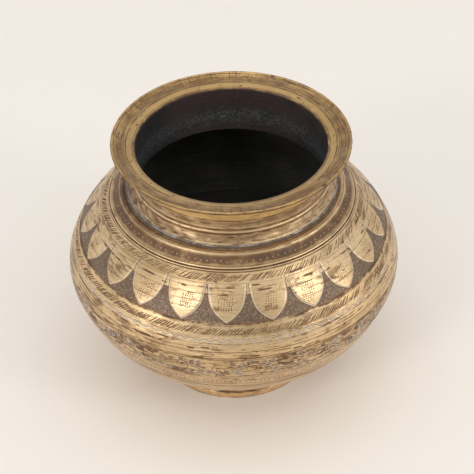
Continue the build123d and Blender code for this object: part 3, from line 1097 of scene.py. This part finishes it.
bead_half = sqrt(neck_bead**2 - (neck_bead - neck_bead_out) ** 2)
collar_out = (collar_r - fillet, seat_z + collar_edge)
collar_in = (neck_r, collar_top_z)
bead_top = (neck_r, neck_bead_z + bead_half)
bead_crown = (neck_r + neck_bead_out, neck_bead_z)
bead_foot = (neck_r, neck_bead_z - bead_half)
neck_outline = joined(
    straight(mm, (rim_spigot_r, neck_top_z), (rim_spigot_r, rim_joint_z), (neck_r, rim_joint_z)),
    straight(0.2 * mm, (neck_r, rim_joint_z), bead_top),
    bent(bead_top, bead_crown, bead_foot, 0.15 * mm),
    straight(0.15 * mm, bead_foot, collar_in),
    bent(collar_in, sagged(collar_in, collar_out, collar_dip), collar_out, 0.2 * mm),
    straight(0.2 * mm, collar_out, (collar_r, collar_out[1] - fillet), (collar_r, seat_z)),
    straight(mm, (collar_r, seat_z), (hole_r, seat_z), (hole_r, hole_z)),
    straight(0.5 * mm, (hole_r, hole_z), (bore_r, hole_z), (bore_r, neck_top_z)),
    straight(mm, (bore_r, neck_top_z), (rim_spigot_r, neck_top_z))[:-1],
)
neck_run = distance_along(neck_outline)
neck_last = int(np.argmax((neck_outline[:, 1] <= seat_z + 1e-9) & (neck_run > 5 * mm)))
neck_face = neck_run[neck_last]
down_neck = way_down(neck_outline, neck_run, 0, neck_last + 1)
neck_cuts = placed(
    down_neck,
    (116.5, 0.9, 0.08, 1.0),
    (113.8, 0.9, 0.08, 1.0),
    (121.7, 1.1, 0, 0.9),
    (119.8, 3.0, 0, 0.5),
    (118.3, 0.3, 0.06, 0.6),
    (120.4, 0.3, 0.06, 0.6),
    (112.9, 0.28, 0.05, 0.45),
    (111.7, 3.4, 0, 0.42),
    (109.1, 0.5, 0, 0.7),
)
neck_cut, neck_dirt = ring_cuts(neck_run, neck_columns, neck_cuts, 51)
neck_angle = angles_round(neck_columns, 180)
left_dirt = 0.06 + 0.40 * np.clip(-np.sin(np.radians(neck_angle + left_turn)), 0, 1)[None, :]
neck_mottle = patches_of(1, 3, len(neck_run), neck_columns)
on_collar = between_runs(neck_run, down_neck(113.6 * mm), neck_face, 1)
neck_dirt = np.maximum(neck_dirt, on_collar * np.clip(left_dirt + 0.20 * neck_mottle, 0, 0.6))
neck_dirt = np.maximum(neck_dirt, np.clip(0.20 * neck_mottle - 0.08, 0, 0.4))
neck_seen = ((neck_run > down_neck(121.9 * mm)) & (neck_run < neck_face))[:, None]
neck_knocks = knocks(neck_run, neck_columns, down_neck(113.4 * mm), neck_face, 50, 0.6 * mm, 0.12 * mm, 52)
neck_cut = np.maximum(neck_cut, neck_knocks) * neck_seen
neck_in = (np.abs(neck_outline[:, 0] - bore_r) < 1e-6)[:, None] * 1.0
throat = band(neck_outline[:, 1], 114.5 * mm, 6.0 * mm) * neck_in
pitted = ripple(neck_run, neck_columns, 9 * mm, 0.25 * mm, 53)
neck_cut = neck_cut + pitted * neck_in * np.clip(throat * 2, 0, 1)
neck_green = np.maximum(throat, 0.35 * neck_seen * band(neck_run, neck_face, 1.4 * mm))
neck_rub = rubbed_bright(neck_run, (down_neck, 115.9, 114.7, 0.9), (down_neck, 110.9, 109.8, 0.5))
neck_marks = {"dirt": neck_dirt, "inside": neck_in, "green": neck_green, "rub": neck_rub}
neck = turn("neck", neck_outline, neck_columns, neck_cut, **neck_marks)
neck_brass = brass("neck_brass", (0.70, 0.51, 0.29), (0.54, 0.38, 0.20), stain=0.8, lines=1.0)
fitted(neck, "neck", neck_brass)


# ---------------------------------------------------------------------------------------
# Mouth rim: a heavy cast ring, turned all over. Its sleeve slides over the neck's end and
# is brazed below. The broad lip has a shallow hollow between its bright inner edge and the
# rounded outer one, full of lathe lines and old polish.

rim_sleeve_r = 48.6 * mm
rim_flare_z = 125.0 * mm
rim_top_z = round(rim_high.z, 5)
rim_edge_r = round(rim_high.x, 5)
rim_bead = 0.8 * mm
rim_inner_z = 131.4 * mm
rim_lip = 0.9 * mm
hollow_in = (50.6 * mm, 132.35 * mm)
hollow_out = (56.0 * mm, 133.75 * mm)
hollow_depth = 0.4 * mm
rim_under = (54.8 * mm, 131.6 * mm)
rim_columns = 1200

rim_bead_c = (rim_edge_r - rim_bead, rim_top_z - rim_bead)
flare_run = rim_under[0] - rim_sleeve_r
flare_r = (flare_run**2 + (rim_under[1] - rim_flare_z) ** 2) / (2 * flare_run)
flare_c = (rim_sleeve_r + flare_r, rim_flare_z)
rim_outline = joined(
    arc((bore_r + rim_lip, rim_inner_z - rim_lip), rim_lip, 180, 90, 0.15 * mm),
    straight(0.2 * mm, (bore_r + rim_lip, rim_inner_z), hollow_in),
    bent(hollow_in, sagged(hollow_in, hollow_out, hollow_depth), hollow_out, 0.2 * mm),
    straight(0.2 * mm, hollow_out, polar(rim_bead_c, rim_bead, 135)),
    arc(rim_bead_c, rim_bead, 135, -90, 0.15 * mm),
    straight(0.2 * mm, polar(rim_bead_c, rim_bead, -90), rim_under),
    bent(rim_under, polar(flare_c, flare_r, 150), (rim_sleeve_r, rim_flare_z), 0.25 * mm),
    straight(0.25 * mm, (rim_sleeve_r, rim_flare_z), (rim_sleeve_r, rim_joint_z)),
    straight(mm, (rim_sleeve_r, rim_joint_z), (rim_spigot_r, rim_joint_z), (rim_spigot_r, neck_top_z)),
    straight(0.5 * mm, (rim_spigot_r, neck_top_z), (bore_r, neck_top_z)),
    straight(0.4 * mm, (bore_r, neck_top_z), (bore_r, rim_inner_z - rim_lip))[:-1],
)
rim_run = distance_along(rim_outline)
rim_far = int(np.argmax(rim_outline[:, 0]))
rim_foot = int(np.argmax((rim_outline[:, 1] <= rim_joint_z + 1e-9)))
down_rim = way_down(rim_outline, rim_run, rim_far, rim_foot + 1)


def out_rim(r):
    """Distance over the lip from the mouth to a radius."""
    return np.interp(r, rim_outline[: rim_far + 1, 0], rim_run[: rim_far + 1])


lip_cuts = placed(
    out_rim,
    (46.2, 1.5, 0, 0.85),
    (47.4, 0.35, 0.05, 0.7),
    (50.5, 0.7, 0.06, 0.7),
    (53.3, 4.4, 0, 0.40),
    (51.5, 0.3, 0.08, 0.65),
    (52.5, 0.35, 0.10, 0.75),
    (53.4, 0.25, 0.06, 0.55),
    (54.3, 0.35, 0.09, 0.7),
    (55.1, 0.25, 0.06, 0.5),
    (56.0, 0.45, 0.09, 0.8),
)
# Down the rim's outside: the dark bands at 132.1 and 131.3, under the rounded edge, are painted shade
outer_cuts_and_shade = placed(
    down_rim,
    (133.4, 1.5, 0, 0.8),
    (132.1, 1.3, 0, 0.85),
    (131.3, 0.6, 0.04, 0.9),
    (129.0, 0.3, 0.05, 0.5),
    (127.6, 4.0, 0, 0.36),
    (124.2, 0.28, 0.05, 0.4),
    (122.2, 0.8, 0, 0.8),
)
rim_cut, rim_dirt = ring_cuts(rim_run, rim_columns, lip_cuts + outer_cuts_and_shade, 61)
edge_zone = (out_rim(56.5 * mm), down_rim(132.8 * mm))
mouth_zone = (out_rim(46.6 * mm), out_rim(50.5 * mm))
lip_knocks = knocks(rim_run, rim_columns, *edge_zone, 70, 0.55 * mm, 0.16 * mm, 62)
mouth_knocks = knocks(rim_run, rim_columns, *mouth_zone, 60, 0.45 * mm, 0.10 * mm, 63)
rim_mottle = patches_of(1, 8, len(rim_run), rim_columns)
on_lip = between_runs(rim_run, out_rim(50.6 * mm), down_rim(132.0 * mm), 0.75) + 0.25
rim_dirt = np.maximum(rim_dirt, on_lip * np.clip(0.24 * rim_mottle + 0.02, 0, 0.5))
rim_seen = ((rim_run > 0.2 * mm) & (rim_run < down_rim(122.2 * mm)))[:, None]
rim_waver = ripple(rim_run, rim_columns, 50 * mm, 0.10 * mm, 64)
knocked = np.maximum(lip_knocks, mouth_knocks)
rim_cut = (np.maximum(rim_cut, knocked) + rim_waver) * rim_seen
rim_dirt = np.maximum(rim_dirt, np.clip(knocked / (0.14 * mm), 0, 0.7))
rim_in = (rim_run > rim_run[rim_foot] + 1e-6)[:, None] * 1.0
rim_angle = angles_round(rim_columns, 180)
creep = (0.75 + 0.45 * np.interp(rim_angle, map_angle, uneven(90, 30, 66))) * mm
rim_in = np.maximum(rim_in, np.clip((creep[None, :] - rim_run[:, None]) / (0.25 * mm), 0, 1) * 0.92)

# A few green spots in the hollow, and short dark ticks across it
rim_green = np.zeros((len(rim_run), rim_columns))
green_spots = ((152, 54.0, 9), (118, 53.2, 7), (-146, 53.6, 8), (-64, 52.8, 6), (77, 53.9, 7), (12, 53.4, 5))
for middle, at, wide in green_spots:
    off = (rim_angle - middle + 180) % 360 - 180
    spot = band(rim_run, out_rim(at * mm), 1.5 * mm) * band(off, 0, wide).T
    rim_green = np.maximum(rim_green, spot * 0.75)
hand = np.random.default_rng(65)
tick_count = 420
for _ in range(tick_count):
    off = (rim_angle - hand.uniform(-180, 180) + 180) % 360 - 180
    tick_in, tick_out = out_rim(hand.uniform(51, 54) * mm), out_rim(hand.uniform(54, 57.3) * mm)
    tick = between_runs(rim_run, tick_in, tick_out, 1) * band(off, 0, hand.uniform(0.15, 0.4)).T
    rim_dirt = np.maximum(rim_dirt, tick * hand.uniform(0.2, 0.65))
# The band on the flare, from 126.6 down to 123.0, is a painted reflection of the lit shoulder; the others
# are rubbed bright
rim_rub = rubbed_bright(
    rim_run, (out_rim, 47.5, 50.2, 0.9), (out_rim, 56.4, 57.5, 0.7), (down_rim, 126.6, 123.0, 0.45)
)
rim_marks = {"dirt": rim_dirt, "inside": rim_in, "green": rim_green, "rub": rim_rub}
mouth_rim = turn("mouth_rim", rim_outline, rim_columns, rim_cut, **rim_marks)
rim_colours = (0.67, 0.445, 0.185), (0.48, 0.295, 0.105)
rim_brass = brass("rim_brass", *rim_colours, stain=0.8, lines=1.0, gloss=0.30)
fitted(mouth_rim, "mouth_rim", rim_brass)


# ---------------------------------------------------------------------------------------
# Braze rings: the hard solder that joins the bowl, body, foot, neck and rim. It was run
# into a small groove or corner round each of the four joints, and has gone grey or dark.


def spelter(name, pale, dark, share, thin):
    """Old hard solder: greyer and duller than brass, with dirt lying on it in streaks."""
    finish = Finish(name)
    patch = finish.noise(7 * mm, 4, rough=0.6)
    speck = finish.noise(0.8 * mm, 3)
    streak = finish.noise(1.0 * mm, 3, stretch=(7, 7, thin))
    colour = finish.coat(pale, dark, patch, 0.62 - share / 2, 0.78 - share / 2)
    colour = finish.coat(colour, grime, speck, 0.50, 0.64, 0.5)
    colour = finish.coat(colour, brown, streak, 0.48, 0.66, 0.45)
    metallic = finish.ramp(patch, 0.3, 0.7, 0.75, 0.25)
    finish.surface(colour, metallic, finish.ramp(speck, 0.3, 0.7, 0.42, 0.68))
    finish.bumps(finish.sums("ADD", speck, finish.times(streak, 0.6)), 0.6, 0.12 * mm)
    return finish.material


brazes = (
    ("seam", (0.40, 0.33, 0.24), (0.11, 0.10, 0.09), 0.5, 0.5),
    ("foot", (0.16, 0.11, 0.07), grime, 0.7, 0.4),
    ("neck", (0.37, 0.345, 0.31), (0.16, 0.12, 0.09), 0.4, 0.5),
    ("rim", (0.30, 0.20, 0.11), grime, 0.6, 0.5),
)
for joint, pale, dark, share, thin in brazes:
    solder = spelter(f"{joint}_spelter", pale, dark, share, thin)
    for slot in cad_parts[f"{joint}_braze"].material_slots:
        slot.material = solder


# ---------------------------------------------------------------------------------------
# Floor: a broad flat sheet of pale paper, very slightly cloudy in tone. The pot only
# stands on it, and nothing is fixed to it.

floor_half = 3.0
floor_mesh = bpy.data.meshes.new("floor")
floor_corners = [(x * floor_half, y * floor_half, 0) for x, y in ((-1, -1), (1, -1), (1, 1), (-1, 1))]
floor_mesh.from_pydata(floor_corners, [], [(0, 1, 2, 3)])
floor = bpy.data.objects.new("floor", floor_mesh)
bpy.context.collection.objects.link(floor)
paper = Finish("paper")
paper_colour = paper.mix(paper.noise(60 * mm, 3), (0.93, 0.865, 0.785), (0.955, 0.89, 0.81))
paper.surface(paper_colour, 0.0, 0.9)
floor_mesh.materials.append(paper.material)


# ---------------------------------------------------------------------------------------
# Camera and light: a long lens looks down on the pot from in front. Soft daylight falls
# on it from windows, sills and walls on both sides and from a pale ceiling.

sight = Vector((0, -610.9, 576.5)) * mm
elevation = radians(39.497)
heading = radians(0.17)
roll = -0.021
ahead = Vector((sin(heading) * cos(elevation), cos(heading) * cos(elevation), -sin(elevation)))
camera = bpy.data.objects.new("camera", bpy.data.cameras.new("camera"))
bpy.context.collection.objects.link(camera)
camera.data.lens = 120.0
camera.data.sensor_width = 36.0
camera.data.clip_start = 0.01
camera.rotation_mode = "QUATERNION"
camera.location = sight
camera.rotation_quaternion = ahead.to_track_quat("-Z", "Y") @ Matrix.Rotation(roll, 3, "Z").to_quaternion()
bpy.context.scene.camera = camera


def soft_light(name, azimuth, height, distance, size, power):
    """Square lamp aimed at the pot. Azimuth 0 is in front and 90 is on the right."""
    lamp = bpy.data.lights.new(name, "AREA")
    lamp.shape = "SQUARE"
    lamp.size = size
    lamp.energy = power
    holder = bpy.data.objects.new(name, lamp)
    bpy.context.collection.objects.link(holder)
    a, e = radians(azimuth), radians(height)
    back = Vector((sin(a) * cos(e), -cos(a) * cos(e), sin(e)))
    holder.location = back * distance + Vector((0, 0, 0.07))
    holder.rotation_mode = "QUATERNION"
    holder.rotation_quaternion = (-back).to_track_quat("-Z", "Y")


lamps = (
    ("left_window", -36, 33, 1.6, 0.32, 2.8),
    ("left_sill", -54, 9, 1.7, 0.55, 3.6),
    ("right_window", 54, 30, 1.6, 0.35, 2.9),
    ("right_sill", 72, 8, 1.7, 0.5, 2.2),
    ("left_wall", -100, 12, 2.0, 1.5, 1.6),
    ("right_wall", 102, 12, 2.0, 1.5, 1.5),
    ("ceiling", 0, 81, 2.2, 2.4, 10.5),
)
for lamp in lamps:
    soft_light(*lamp)

world = bpy.data.worlds.new("room")
world.use_nodes = True
sky = world.node_tree.nodes["Background"].inputs
sky["Color"].default_value = (0.97, 0.98, 1.0, 1)
sky["Strength"].default_value = 0.70
bpy.context.scene.world = world
bpy.context.scene.view_settings.view_transform = "Standard"
bpy.context.scene.view_settings.look = "None"
